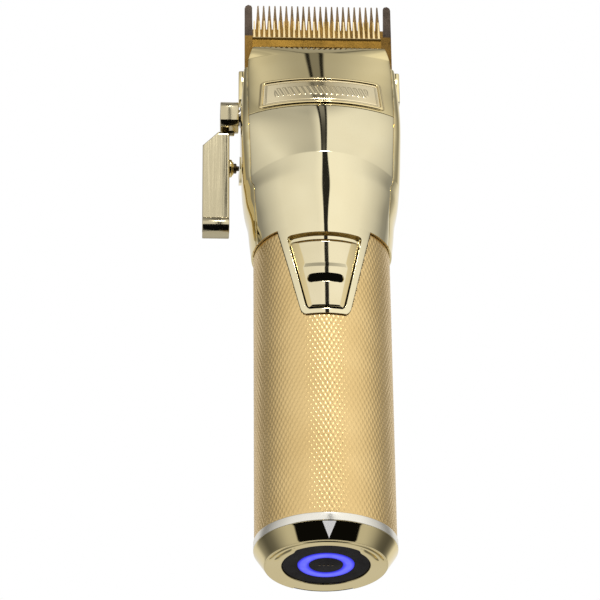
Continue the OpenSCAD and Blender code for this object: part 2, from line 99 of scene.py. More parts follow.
# How square the sections are: a power of 2 is an ellipse, more is boxier
rear_square = flowing([[COVER_Z, 2], [110, 2.25], [CREASE, 2.7], [NOSE_Z, 3.5], [155, 3.7], [167, 3.7]])
front_square = flowing([[69, 2], [COVER_Z, 2], [104, 2.1], [110, 2.4], [116, 3], [CREASE, 4], [130, 7],
                        [NOSE_Z, 11], [NOSE_TOP, 11]], (COVER_Z,))
# The share of its depth that the front loses towards its sides, and how low each section hangs there
bow = flowing([[69, 0], [COVER_Z, 0], [104, 0.03], [110, 0.12], [116, 0.3], [CREASE, 0.5], [130, 0.46],
               [NOSE_Z, 0.4], [155, 0.47], [LIP_Z, 0.54], [NOSE_TOP, 0.12]], (COVER_Z, CREASE, LIP_Z))
dip = flowing([[69, 0], [COVER_Z, 0], [112, 1], [CREASE, 2.4], [134, 0.8], [NOSE_Z, 0], [NOSE_TOP, 0]],
              (COVER_Z, CREASE, NOSE_Z))
DIP_AT = 21.6
# Half widths: of the covers at their seam, of the tab that frames the switch, of the window in it
seam = straight([[COVER_Z, 19.2], [108, 19.5], [119, 20], [121.5, 20.9], [129, 21.1], [NOSE_Z, 21.6],
                 [148, 21.7], [160, 21.7], [LIP_Z, 21.4], [NOSE_TOP, 20]])
tab = straight([[69.3, 5.6], [69.5, 6.1], [70.1, 6.7], [71, 7.15], [98.7, 13.45]])
window = straight([[WINDOW_LOW, 4.7], [71.3, 5.3], [72.2, 5.8], [95, 10.75], [95.6, 10.5],
                   [WINDOW_TOP, 9.8]])


def front_depth(z, u, b):
    """Depth of a front that is b deep at its middle, at the share u of its half width."""
    n = front_square(z)
    u = np.clip(u, 0, 1)
    return b * (1 - bow(z) * u**2) * (1 - u**n) ** (1 / n)


def on_front(x, z, lift=0.0):
    """Points on the front of the head at x and section height z, raised outwards by lift."""
    x, z = np.broadcast_arrays(np.asarray(x, float), np.asarray(z, float))
    y = -front_depth(z, np.abs(x) / (half(z) + lift), front(z) + lift)
    return np.stack([x, y, z - dip(z) * (x / DIP_AT) ** 2], -1)


HALVINGS = 44


def on_side(turn, z):
    """Points right round the head at polar angle turn (0 is +X, 90 the rear) and section height z."""
    turn, z = np.broadcast_arrays(np.radians(turn), np.asarray(z, float))
    a, b = half(z), rear(z)
    n = rear_square(z)
    c, s = np.cos(turn), np.sin(turn)
    r = (np.abs(c / a) ** n + np.abs(s / b) ** n) ** (-1 / n)
    # Halve the span of u until the ray at this angle meets the front
    low, high = np.zeros_like(c), np.ones_like(c)
    for _ in range(HALVINGS):
        u = (low + high) / 2
        beyond = front_depth(z, u, front(z)) * np.abs(c) > a * u * np.abs(s)
        low, high = np.where(beyond, u, low), np.where(beyond, high, u)
    x = np.where(s > 0, r * c, np.sign(c) * a * u)
    y = np.where(s > 0, r * s, -front_depth(z, u, front(z)))
    return np.stack([x, y, z - dip(z) * (x / DIP_AT) ** 2], -1)


def points_at(x, y, z):
    return np.stack(np.broadcast_arrays(x, y, z), -1)


def heights(*stops, step=0.6):
    """Rows between the stops, close together beside each stop."""
    rows = []
    for a, b in zip(stops, stops[1:]):
        n = max(2, round((b - a) / step))
        rows.extend(np.linspace(a, b, n + 1)[:-1])
    return np.array(rows + [stops[-1]])


# ----- Meshes -----

def new_mesh(name, points, faces):
    mesh = bpy.data.meshes.new(name)
    mesh.from_pydata([tuple(p) for p in points], [], faces)
    obj = bpy.data.objects.new(name, mesh)
    bpy.context.scene.collection.objects.link(obj)
    return obj


def outward(obj):
    """Turns every face of a closed body outwards."""
    bm = bmesh.new()
    bm.from_mesh(obj.data)
    bmesh.ops.recalc_face_normals(bm, faces=bm.faces)
    bm.to_mesh(obj.data)
    bm.free()


def grid_faces(rows, cols, keep=None, closed=False):
    faces = []
    for i in range(rows - 1):
        for j in range(cols if closed else cols - 1):
            if keep is None or keep[i, j]:
                k = (j + 1) % cols
                faces.append((i * cols + j, i * cols + k, (i + 1) * cols + k, (i + 1) * cols + j))
    return faces


def sheet(name, points, faces):
    """A mesh without the points that its faces leave unused."""
    used = sorted({v for f in faces for v in f})
    place = {v: i for i, v in enumerate(used)}
    return new_mesh(name, points[used], [tuple(place[v] for v in f) for f in faces])


def grid(name, points, keep=None):
    """A sheet from a grid of points, without the cells that keep leaves out."""
    rows, cols = points.shape[:2]
    return sheet(name, points.reshape(-1, 3), grid_faces(rows, cols, keep))


def loft(name, rings, closed=True, caps=False):
    """A body from rings of equal length. Closed joins the last ring to the first."""
    rings = [np.asarray(r, float) for r in rings]
    cols, rows = len(rings[0]), len(rings)
    faces = grid_faces(rows, cols, closed=True)
    if closed:
        last = (rows - 1) * cols
        faces += [(last + j, last + (j + 1) % cols, (j + 1) % cols, j) for j in range(cols)]
    if caps:
        faces.append(tuple(range(cols)))
        faces.append(tuple(range((rows - 1) * cols, rows * cols)))
    obj = new_mesh(name, np.concatenate(rings), faces)
    outward(obj)
    return obj


def rounded(corners, radius=0.2, steps=3):
    """A closed outline with its corners rounded. A corner may carry its own radius."""
    pts = []
    n = len(corners)
    for i, here in enumerate(corners):
        r = here[2] if len(here) > 2 else radius
        p = np.array(here[:2], float)
        a, b = np.array(corners[i - 1][:2], float) - p, np.array(corners[(i + 1) % n][:2], float) - p
        la, lb = np.linalg.norm(a), np.linalg.norm(b)
        trim = min(r, 0.45 * la, 0.45 * lb)
        if trim < 1e-6:
            pts.append(p)
            continue
        a, b = p + a / la * trim, p + b / lb * trim
        for t in np.linspace(0, 1, steps + 1):
            pts.append((1 - t) ** 2 * a + 2 * t * (1 - t) * p + t * t * b)
    return np.array(pts)


ON_AXIS = 0.001


def lathe(name, outline, axis="z", at=(0, 0, 0), segments=160):
    """A turned body: a closed outline of (radius, height) turned about an axis through a point.
    An outline that starts and ends on the axis makes a solid body."""
    turn = np.linspace(0, 2 * math.pi, segments, endpoint=False)
    rings = []
    for r, h in outline:
        r = max(r, ON_AXIS)
        c, s, along = r * np.cos(turn), r * np.sin(turn), np.full(segments, h)
        ring = {"z": (c, s, along), "x": (along, c, s), "y": (c, along, s)}[axis]
        rings.append(np.stack(ring, -1) + np.array(at))
    solid = outline[0][0] == 0 and outline[-1][0] == 0
    return loft(name, rings, closed=not solid, caps=solid)


def extruded(name, outline, low, high, plane="xz"):
    """A flat outline given a thickness. In plane xz it is extruded along Y, in yz along X."""
    outline = np.asarray(outline, float)
    rings = []
    for at in (low, high):
        fill = np.full(len(outline), at)
        parts = {"xz": (outline[:, 0], fill, outline[:, 1]), "yz": (fill, outline[:, 0], outline[:, 1])}
        rings.append(np.stack(parts[plane], -1))
    return loft(name, rings, closed=False, caps=True)


def modifier(obj, kind, **values):
    m = obj.modifiers.new(kind.lower(), kind)
    for k, v in values.items():
        setattr(m, k, v)
    return m


def thick(obj, depth):
    modifier(obj, "SOLIDIFY", thickness=depth, offset=-1)


def bevelled(obj, width, segments=3, angle=35):
    modifier(obj, "BEVEL", width=width, segments=segments, limit_method="ANGLE",
             angle_limit=math.radians(angle))


def settle(obj, sharp=35):
    """Applies the modifiers and shades the mesh smooth, apart from its sharp edges."""
    graph = bpy.context.evaluated_depsgraph_get()
    mesh = bpy.data.meshes.new_from_object(obj.evaluated_get(graph))
    obj.modifiers.clear()
    obj.data = mesh
    mesh.shade_smooth()
    mesh.set_sharp_from_angle(angle=math.radians(sharp))
    return obj


def joined(*objs):
    """Several settled meshes as one object, named as the first."""
    bm = bmesh.new()
    for o in objs:
        bm.from_mesh(o.data)
    for o in objs[1:]:
        bpy.data.objects.remove(o)
    bm.to_mesh(objs[0].data)
    bm.free()
    return objs[0]


def piece(obj, body, finish, *replaced):
    """Brings a mesh to metres, gives it its finish and lets it ride on its body in place of its CAD node."""
    obj.data.transform(Matrix.Scale(MM, 4))
    obj.data.materials.clear()
    obj.data.materials.append(FINISHES[finish])
    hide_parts(*replaced)
    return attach(obj, body)


# ----- Finishes -----

class Tree:
    """Short calls for building a node tree."""

    def __init__(self, owner, output):
        owner.use_nodes = True
        self.tree = owner.node_tree
        self.tree.nodes.clear()
        self.surface = self.add(output).inputs["Surface"]

    def feed(self, socket, value):
        """Gives a socket a value of its own, or the output of another node."""
        if isinstance(value, bpy.types.NodeSocket):
            self.tree.links.new(value, socket)
        else:
            socket.default_value = value

    def add(self, kind, **values):
        """A node with its settings and its inputs, whose names have _ for a space here."""
        node = self.tree.nodes.new(kind)
        for k, v in values.items():
            if hasattr(node, k):
                setattr(node, k, v)
            else:
                self.feed(node.inputs[k.replace("_", " ")], v)
        return node

    def math(self, operation, a, b=0.0):
        node = self.add("ShaderNodeMath", operation=operation)
        self.feed(node.inputs[0], a)
        self.feed(node.inputs[1], b)
        return node.outputs[0]

    def times(self, a, b):
        return self.math("MULTIPLY", a, b)

    def plus(self, a, b):
        return self.math("ADD", a, b)

    def less(self, a, b):
        return self.math("SUBTRACT", a, b)

    def ramp(self, value, low, high, to_low=0.0, to_high=1.0, kind="SMOOTHSTEP"):
        node = self.add("ShaderNodeMapRange", interpolation_type=kind, Value=value, From_Min=low,
                        From_Max=high, To_Min=to_low, To_Max=to_high)
        return node.outputs["Result"]

    def blend(self, amount, a, b):
        """The number a where amount is nought, b where it is one."""
        return self.plus(self.times(a, self.less(1.0, amount)), self.times(b, amount))

    def mix(self, amount, a, b):
        """The colour a where amount is nought, b where it is one."""
        node = self.add("ShaderNodeMix", data_type="RGBA")
        sockets = {s.identifier: s for s in node.inputs}
        for name, v in (("Factor_Float", amount), ("A_Color", a), ("B_Color", b)):
            self.feed(sockets[name], (*v, 1) if isinstance(v, tuple) else v)
        return next(s for s in node.outputs if s.identifier == "Result_Color")

    def noise(self, vector, scale, detail, roughness=0.5):
        node = self.add("ShaderNodeTexNoise", Vector=vector, Scale=scale, Detail=detail, Roughness=roughness)
        return node.outputs["Fac"]

    def either(self, choice, first, second):
        """Shows the first shader where choice is nought, the second where it is one."""
        both = self.add("ShaderNodeMixShader")
        for socket, v in zip(both.inputs, (choice, first.outputs[0], second.outputs[0])):
            self.feed(socket, v)
        self.feed(self.surface, both.outputs[0])

    def stretched(self, vector, scale):
        return self.add("ShaderNodeMapping", Vector=vector, Scale=scale).outputs["Vector"]

    def place(self):
        return self.add("ShaderNodeTexCoord").outputs["Object"]

    def normal(self):
        return self.add("ShaderNodeNewGeometry").outputs["Normal"]

    def along(self, vector, axis):
        split = self.add("ShaderNodeSeparateXYZ")
        self.feed(split.inputs[0], vector)
        return split.outputs[axis]


def shader_of(mat):
    return next(n for n in mat.node_tree.nodes if n.type == "BSDF_PRINCIPLED")


def finish(name, colour, second, rough, metallic=1.0, grain=900, stretch=(1, 1, 1), bump=0.02,
           depth=0.00002, rough_swing=0.3, wear=None, coat=0.0, specular=0.5, extra=None, satin=None):
    """A procedural finish: drift to a second colour, uneven gloss, a fine grain and wear on edges.
    extra(t, place, tone) changes the colour further, satin(t, place) is roughness to add."""
    mat = bpy.data.materials.new(name)
    t = Tree(mat, "ShaderNodeOutputMaterial")
    place = t.place()
    tone = t.mix(t.ramp(t.noise(place, 70, 2), 0.35, 0.68), colour, second)
    if wear:
        point = t.add("ShaderNodeNewGeometry").outputs["Pointiness"]
        rub = t.times(t.ramp(point, 0.53, 0.62), t.ramp(t.noise(place, 260, 3), 0.4, 0.7))
        tone = t.mix(rub, tone, wear)
    if extra:
        tone = extra(t, place, tone)
    fine = t.noise(t.stretched(place, stretch), grain, 4, 0.6)
    smear = t.noise(place, 140, 4, 0.65)
    gloss = t.plus(t.times(fine, 0.4), t.times(smear, 0.6))
    rough_at = t.ramp(gloss, 0.3, 0.7, rough * (1 - rough_swing), rough * (1 + rough_swing), "LINEAR")
    if satin:
        rough_at = t.plus(rough_at, satin(t, place))
    relief = t.add("ShaderNodeBump", Strength=bump, Distance=depth, Height=fine)
    shader = t.add("ShaderNodeBsdfPrincipled", Base_Color=tone, Roughness=rough_at, Metallic=metallic,
                   Coat_Weight=coat, Coat_Roughness=0.08, Specular_IOR_Level=specular,
                   Normal=relief.outputs["Normal"])
    t.feed(t.surface, shader.outputs["BSDF"])
    FINISHES[name] = mat
    return t, mat


FINISHES = {}
# The last of these is the bright colour of the painted highlight on the blades' edges.
GUARD_DARK, TIP_DARK, EDGE_HIGHLIGHT_GOLD = (0.062, 0.047, 0.036), (0.12, 0.085, 0.05), (1.0, 0.82, 0.47)
# Places in metres: the roots of the cutter's teeth, the tips of the still blade's, the start of its
# guards inwards and upwards, the lever's inner side, the lower edge of the badge
CUTTER_ROOTS, STILL_TIPS = (0.1758, 0.1764), (0.1815, 0.1875)
GUARD_IN, GUARD_UP = (0.0198, 0.0200), (0.178, 0.1786)
LEVER_SIDE, BADGE_UP = (-0.0235, -0.0242), (0.1405, 0.141)


def edge_painted_highlight(t, tone):
    """Edges, the faces that don't look to the front or the back, are painted bright: a painted highlight."""
    flat = t.math("ABSOLUTE", t.along(t.normal(), "Y"))
    return t.mix(t.ramp(flat, 0.97, 0.8), tone, EDGE_HIGHLIGHT_GOLD)


def burnished(t, place, tone):
    """The still blade darkens towards the tips of its teeth. Its guards are darkest."""
    x, z = t.along(place, "X"), t.along(place, "Z")
    tone = t.mix(t.ramp(z, *STILL_TIPS), tone, TIP_DARK)
    guard = t.times(t.ramp(t.math("ABSOLUTE", x), *GUARD_IN), t.ramp(z, *GUARD_UP))
    return t.mix(guard, tone, GUARD_DARK)


def looks_down(t):
    return t.ramp(t.along(t.normal(), "Z"), -0.6, -0.8)


def down_walls_painted_shade(t, place, tone):
    """The cover's inner walls that face down are painted a deeper gold, a painted shade, and are not
    polished.
    """
    return t.mix(looks_down(t), tone, (1.0, 0.74, 0.28))


def cast_walls(t, place):
    return t.times(looks_down(t), 0.55)


def rough_teeth(t, place):
    return t.times(t.ramp(t.along(place, "Z"), *CUTTER_ROOTS), 0.3)


def cutter_teeth_painted_highlight(t, place, tone):
    """The cutter's teeth are painted bright above their roots, a painted highlight."""
    teeth = t.ramp(t.along(place, "Z"), *CUTTER_ROOTS)
    return edge_painted_highlight(t, t.mix(teeth, tone, (1.0, 0.80, 0.43)))


def tints_and_painted_reflection(t, place, tone):
    """Bevels that face sideways are painted a warmer gold, a painted reflection. The badge frame is a warmer
    gold too, and the lever is duller.
    """
    sideways = t.ramp(t.math("ABSOLUTE", t.along(t.normal(), "X")), 0.5, 0.62)
    lever = t.ramp(t.along(place, "X"), *LEVER_SIDE)
    badge = t.times(t.ramp(t.along(place, "Z"), *BADGE_UP), t.less(1.0, lever))
    # Painted reflection: faces that look sideways take a warmer gold.
    tone = t.mix(sideways, tone, (0.93, 0.76, 0.40))
    tone = t.mix(badge, tone, (0.98, 0.80, 0.42))
    return t.mix(lever, tone, (0.60, 0.525, 0.34))


def brushed_lever(t, place):
    """The lever, out at -X, is brushed along its length. The other pieces of this finish are polished."""
    streaks = t.noise(t.stretched(place, (1, 1, 0.02)), 2600, 2)
    return t.times(t.ramp(t.along(place, "X"), *LEVER_SIDE), t.ramp(streaks, 0.3, 0.7, 0.05, 0.13))


# The deeper gold on its down-facing walls is painted shade.
finish("gold_chrome", (0.85, 0.765, 0.51), (0.83, 0.74, 0.485), 0.035, bump=0.012, extra=down_walls_painted_shade,
       satin=cast_walls)
finish("gold_housing", (0.84, 0.71, 0.39), (0.82, 0.685, 0.365), 0.04, bump=0.012, wear=(0.95, 0.84, 0.50))
# The warmer gold on its sideways bevels is a painted reflection.
finish("pale_gold", (0.81, 0.72, 0.485), (0.78, 0.69, 0.45), 0.05, bump=0.015, extra=tints_and_painted_reflection,
       satin=brushed_lever)
finish("satin_gold", (0.84, 0.61, 0.28), (0.79, 0.565, 0.25), 0.25, grain=1500, bump=0.12, rough_swing=0.2)
finish("gold_plate", (0.99, 0.86, 0.56), (0.93, 0.78, 0.47), 0.11, grain=2500, bump=0.12, stretch=(1, 1, 6))
finish("trim_silver", (0.90, 0.87, 0.79), (0.85, 0.82, 0.73), 0.2, grain=1200, stretch=(0.4, 0.4, 8),
       bump=0.12, depth=0.00003)
finish("white_mark", (0.84, 0.83, 0.82), (0.79, 0.78, 0.77), 0.35, metallic=0, grain=3000, bump=0.1)
finish("black_plastic", (0.012, 0.009, 0.010), (0.017, 0.013, 0.014), 0.5, metallic=0, grain=2600,
       bump=0.35, depth=0.00004, specular=0.1)
finish("contact_gold", (0.12, 0.09, 0.05), (0.08, 0.06, 0.035), 0.4, bump=0.05)
finish("board_green", (0.02, 0.16, 0.07), (0.03, 0.22, 0.09), 0.35, metallic=0, grain=1400, bump=0.2,
       coat=0.3)
finish("screw_steel", (0.62, 0.60, 0.57), (0.52, 0.50, 0.47), 0.24, grain=1200, bump=0.1,
       wear=(0.8, 0.78, 0.75))
finish("battery_wrap", (0.04, 0.14, 0.42), (0.05, 0.17, 0.48), 0.3, metallic=0, grain=500, bump=0.1,
       coat=0.3)
finish("bare_steel", (0.58, 0.57, 0.55), (0.48, 0.47, 0.45), 0.3, stretch=(1, 1, 9), bump=0.15)
finish("spring_steel", (0.66, 0.64, 0.60), (0.55, 0.53, 0.49), 0.22, grain=1500, bump=0.1)
finish("wire_red", (0.45, 0.03, 0.02), (0.38, 0.025, 0.02), 0.42, metallic=0, bump=0.1)
finish("magnet_grey", (0.10, 0.10, 0.105), (0.13, 0.13, 0.135), 0.55, metallic=0.2, grain=1800, bump=0.4)
finish("bush_bronze", (0.60, 0.40, 0.19), (0.52, 0.33, 0.15), 0.36, grain=2000, bump=0.25)
finish("winding_copper", (0.62, 0.26, 0.12), (0.48, 0.19, 0.09), 0.33, grain=1500, stretch=(1, 1, 10),
       bump=0.4, depth=0.00008)
finish("blade_dark", (0.22, 0.125, 0.03), (0.18, 0.10, 0.024), 0.13, grain=1400, stretch=(7, 1, 1),
       bump=0.1, extra=burnished)
# The cutter's finish paints highlights on its teeth and its edges.
finish("blade_gold", (0.27, 0.15, 0.027), (0.22, 0.12, 0.022), 0.14, grain=1400, stretch=(7, 1, 1),
       bump=0.1, extra=cutter_teeth_painted_highlight, satin=rough_teeth)


GLOW_R = 0.0064


def lit_ring():
    """The light ring: blue light through a milky lens, a little stronger at the middle of its width."""
    t, mat = finish("ring_light", (0.02, 0.02, 0.3), (0.015, 0.015, 0.26), 0.35, metallic=0,
                    bump=0.05, specular=0.15)
    place = t.place()
    x, y = t.along(place, "X"), t.along(place, "Y")
    r = t.math("SQRT", t.plus(t.times(x, x), t.times(y, y)))
    off = t.math("ABSOLUTE", t.less(r, GLOW_R))
    glow = t.mix(t.ramp(off, 0.0004, 0.0015), (0.145, 0.155, 1.0), (0.03, 0.03, 0.66))
    patch = t.times(t.ramp(t.noise(place, 330, 2), 0.35, 0.65), 0.35)
    t.feed(shader_of(mat).inputs["Emission Color"], t.mix(patch, glow, (0.05, 0.055, 0.85)))
    shader_of(mat).inputs["Emission Strength"].default_value = 1.05


def bright_mark():
    """The white mark glows a little, so that it stays white before the dim room."""
    shader = shader_of(FINISHES["white_mark"])
    shader.inputs["Emission Color"].default_value = (1, 0.97, 0.96, 1)
    shader.inputs["Emission Strength"].default_value = 0.3


lit_ring()
bright_mark()


# ----- Base -----

CAP_TOP, RING_TOP, BASE_R, RIM_R = 4.6, 7.1, 17.2, 20.2
DOCK_R, LOBE, LOBE_HALF = 12.25, 1.0, 8.85
# Grooves in the base face: inner and outer radius, start and sweep in degrees, depth
GROOVES = ((15.35, 16.5, 190, 160, 1.7), (13.45, 14.95, 191, 42, 2.0), (13.45, 14.95, 307, 42, 2.0))
GROOVE_FADE = 13
# The ledge at the rear of the rim: where it starts, how high it lies, its start and sweep in degrees
LEDGE_R, LEDGE_Z, LEDGE_TURNS = 16.42, 1.6, (60, 60)
round_turn = np.linspace(0, 360, 720, endpoint=False)


def lobed(gap):
    """Radius of the dock plate's outline at each angle, with its raised lobe at the front."""
    rad = np.radians(round_turn)
    side = (LOBE_HALF + gap) / np.maximum(np.abs(np.cos(rad)), 1e-6)
    r = np.maximum(DOCK_R + gap, np.minimum(DOCK_R + LOBE + gap, side))
    r = np.where(np.sin(rad) < 0, r, DOCK_R + gap)
    soft = 7
    return sum(np.roll(r, k) for k in range(-soft, soft + 1)) / (2 * soft + 1)


def polar(r, z):
    rad = np.radians(round_turn)
    return points_at(r * np.cos(rad), r * np.sin(rad), z)


def sector(start, sweep, fade=0.01):
    """One between two turns about the base's middle and nought elsewhere, with faded ends."""
    away = (round_turn - start) % 360
    return smooth(np.minimum(away, sweep - away), 0, fade)


def base_relief(r):
    """Depth of the grooves in the base face."""
    deep = np.zeros_like(r)
    for r0, r1, start, sweep, depth in GROOVES:
        floor = depth * np.clip((r - r0) / (r1 - r0), 0, 1) ** 2
        inside = smooth(r, r0 - 0.05, r0 + 0.06) * (1 - smooth(r, r1 - 0.06, r1 + 0.05))
        deep = np.maximum(deep, floor * inside * sector(start, sweep, GROOVE_FADE))
    return deep


def notched(r, z):
    """The rear of the rim is cut back to a ledge."""
    return np.where((r > LEDGE_R) & (sector(*LEDGE_TURNS) > 0), np.maximum(z, LEDGE_Z), z)


def make_end_cap():
    """The cap: a socket for the dock plate, the grooved base face, the slanted rim and the hollow above."""
    socket = lobed(0.06)
    mouth = socket + 0.26
    rings = [polar(9, 3.4), polar(9, 1.9), polar(socket - 0.1, 1.9), polar(socket, 1.8),
             polar(socket, 0.28), polar(socket + 0.04, 0.12), polar(socket + 0.12, 0.03),
             polar(mouth, 0.0)]
    for f in np.linspace(0, 1, 56)[1:]:
        r = mouth * (1 - f) + 16.86 * f
        rings.append(polar(r, notched(r, base_relief(r))))
    rim = rounded([(16.9, 0), (BASE_R, 0, 0.32), (RIM_R, CAP_TOP, 0.12), (18.6, CAP_TOP, 0.05),
                   (18.6, 9.4), (17.4, 9.4), (17.4, 3.4), (9.2, 3.4)], 0.1, 4)
    cone = []
    for (r, z), (r2, z2) in zip(rim, rim[1:]):
        cone.append((r, z))
        if r2 - r > 1:
            cone.extend((r + (r2 - r) * k / 9, z + (z2 - z) * k / 9) for k in range(1, 9))
    for r, z in cone[1:]:
        if z < CAP_TOP + 0.1 and r > 16.9:
            rings.append(polar(r, notched(r, z)))
        elif r > 9.5:
            rings.append(polar(r, z))
    piece(settle(loft("end_cap", rings), 40), "casing", "gold_housing", "end_cap")


def make_index_mark():
    """The white triangle on the rim's front, its point downwards."""
    z = np.linspace(0.4, 4.4, 16)[:, None]
    x = np.linspace(-1, 1, 13)[None, :] * np.maximum(0.03, 1.9 * (z - 0.4) / 4)
    r = BASE_R + (RIM_R - BASE_R) * z / CAP_TOP + 0.03
    obj = grid("index_mark", points_at(x, -np.sqrt(r**2 - x**2), z))
    thick(obj, 0.12)
    piece(settle(obj), "casing", "white_mark", "index_mark")


def make_dock():
    """The dock plate with its middle and back, the light ring between them, and the four contacts."""
    outer = lobed(-0.03)
    rings = [polar(outer, 1.8), polar(outer, 0.62), polar(outer - 0.06, 0.45), polar(outer - 0.2, 0.36),
             polar(outer - 0.45, 0.35)]
    rings += [polar(outer * (1 - f) + 8.3 * f, 0.35) for f in (0.2, 0.4, 0.6, 0.8)]
    rings += [polar(8.3, 0.35), polar(8.02, 0.37), polar(7.96, 0.45), polar(7.95, 1.8)]
    plate = settle(loft("dock_plate", rings))
    hub = settle(lathe("dock_hub", rounded([(0, 0.35, 0), (4.75, 0.35, 0.15), (4.75, 1.7), (0, 1.7, 0)])))
    back = settle(lathe("dock_back", rounded([(0, 1.6, 0), (8.95, 1.6), (8.95, 3.3), (0, 3.3, 0)])))
    piece(joined(plate, hub, back), "casing", "black_plastic", "dock_plate")
    ring = lathe("light_ring", rounded([(4.8, 0.3, 0.25), (7.9, 0.3, 0.25), (7.9, 1.55), (4.8, 1.55)]))
    piece(settle(ring), "casing", "ring_light", "light_ring")
    pin = rounded([(0, 0.25, 0), (0.36, 0.25, 0.12), (0.36, 3.9), (0, 3.9, 0)], 0.05)
    pins = [settle(lathe("charge_contacts", pin, at=(x, 0, 0), segments=40)) for x in (-1.8, -0.6, 0.6, 1.8)]
    piece(joined(*pins), "casing", "contact_gold", "charge_contacts")


def make_trim_ring():
    low = CAP_TOP + 0.03
    outline = rounded([(18.65, low), (RIM_R, low, 0.16), (RIM_R, RING_TOP, 0.22), (18.65, RING_TOP)], 0.05, 4)
    piece(settle(lathe("trim_ring", outline, segments=240)), "casing", "trim_silver", "trim_ring")


# ----- Knurled sleeve -----

SLEEVE_R, SLEEVE_TOP, KNURLS, KNURL_TALL, KNURL_DEEP = 19.95, 98.5, 88, 2.54, 0.11
# Grid columns and rows to a knurl, and the share of a knurl over which its flank rises
PER, FLANK = 6, 0.34
TAB_GAP = 0.06


def make_sleeve():
    """A turned tube with two families of crossing helical grooves cut in it, open for the front tab."""
    cols = KNURLS * PER
    low, step = RING_TOP + 0.03, KNURL_TALL / PER
    rows = int((SLEEVE_TOP - low) / step) + 1
    i, j = np.meshgrid(np.arange(rows), np.arange(cols), indexing="ij")

    def away(phase):
        m = phase % PER
        return np.minimum(m, PER - m) / PER

    h = np.minimum(np.minimum(away(i + j), away(j - i)), FLANK) / FLANK
    r = SLEEVE_R - KNURL_DEEP * (1 - h)
    z = low + i * step
    turn = 2 * math.pi * (j + 0.5) / cols
    z[-1] = SLEEVE_TOP
    r[0] = r[-1] = SLEEVE_R - KNURL_DEEP
    # Keep out of the tab that frames the switch: snap the border of the grid to its outline
    edge = np.where(z > 69.1, tab(z) + TAB_GAP, -1)
    edge_turn = np.arcsin(np.clip(edge / SLEEVE_R, -1, 1))
    off = turn - 1.5 * math.pi
    inside = (np.abs(off) < edge_turn) & (edge > 0)
    unit = 2 * math.pi / cols
    snap = (edge > 0) & ~inside & (np.abs(off) < edge_turn + unit)
    turn = np.where(snap, 1.5 * math.pi + np.sign(off) * edge_turn, turn)
    pts = np.stack([r * np.cos(turn), r * np.sin(turn), z], -1)
    faces = []
    for a in range(rows - 1):
        for b in range(cols):
            c = (b + 1) % cols
            corners = [(a, b), (a, c), (a + 1, c), (a + 1, b)]
            split = (b - a) % PER == 0
            tris = ((0, 1, 2), (0, 2, 3)) if split else ((0, 1, 3), (1, 2, 3))
            for tri in tris:
                if not any(inside[corners[k]] for k in tri):
                    faces.append(tuple(corners[k][0] * cols + corners[k][1] for k in tri))
    obj = sheet("grip_sleeve", pts.reshape(-1, 3), faces)
    thick(obj, 1.0)
    settle(obj, 180)
    obj.data.set_sharp_from_angle(angle=math.radians(50))
    piece(obj, "casing", "satin_gold", "grip_sleeve")


# ----- Head covers -----

def window_ledge():
    """The ledge seen above the switch, in the gap it leaves for travel."""
    z = np.linspace(93.2, 96.3, 10)[:, None]
    x = np.linspace(-10.6, 10.6, 61)[None, :]
    ledge = grid("ledge", points_at(x, -np.sqrt(19.36**2 - x**2), z))
    thick(ledge, 0.3)
    return settle(ledge)


def make_front_cover():
    """One shell: the front of the head and the tab below it that frames the switch."""
    z = heights(69.3, 69.5, 70.1, WINDOW_LOW, 71.3, 72.2, 95, 95.6, WINDOW_TOP, 98.2, COVER_Z, 99.2,
                CREASE - 0.45, CREASE, CREASE + 0.45, NOSE_Z - 0.6, NOSE_Z - 0.1)
    # Columns from seam to tab's edge to window's edge, and mirrored back to the other seam
    groups = (14, 5, 24, 5, 14)
    half_widths = [seam(z) - SEAM_GAP, tab(z), window(z)]
    stops = np.stack([-w for w in half_widths] + half_widths[::-1], -1)
    cols = []
    for k, n in enumerate(groups):
        f = np.linspace(0, 1, n + 1)[None, :-1]
        cols.append(stops[:, k:k + 1] * (1 - f) + stops[:, k + 1:k + 2] * f)
    x = np.concatenate(cols + [stops[:, -1:]], 1)
    bounds = np.cumsum((0,) + groups)
    keep = np.ones((len(z) - 1, x.shape[1] - 1), bool)
    mid = (z[:-1] + z[1:]) / 2
    below = mid < COVER_Z - 0.01
    keep[np.ix_(below, np.r_[bounds[0]:bounds[1], bounds[4]:bounds[5]])] = False
    hole = (mid > WINDOW_LOW) & (mid < WINDOW_TOP)
    keep[np.ix_(hole, np.arange(bounds[2], bounds[3]))] = False
    obj = grid("front_cover", on_front(x, z[:, None]), keep)
    thick(obj, WALL)
    bevelled(obj, 0.12)
    piece(joined(settle(obj), window_ledge()), "casing", "gold_chrome", "front_cover")


def make_nose_cover():
    z = heights(NOSE_Z + 0.1, NOSE_Z + 0.6, LIP_Z - 0.5, LIP_Z, LIP_Z + 0.4, NOSE_TOP - 0.4, NOSE_TOP)
    f = np.linspace(-1, 1, 65)[None, :]
    x = (seam(z) - SEAM_GAP)[:, None] * f
    obj = grid("nose_cover", on_front(x, z[:, None]))
    thick(obj, WALL)
    bevelled(obj, 0.1)
    piece(settle(obj), "casing", "gold_housing", "nose_cover")


# The lever's pivot lies on the X direction through (0, 0, PIVOT_Z). The detent pin runs round it
PIVOT_Z, DETENT_R, DETENT_STOPS = 147.5, 17.9, (0, 15, 30, 45)


def box_shape(name, low, high, bevel):
    (x0, y0, z0), (x1, y1, z1) = low, high
    obj = extruded(name, [(x0, z0), (x1, z0), (x1, z1), (x0, z1)], y0, y1)
    bevelled(obj, bevel)
    return settle(obj)


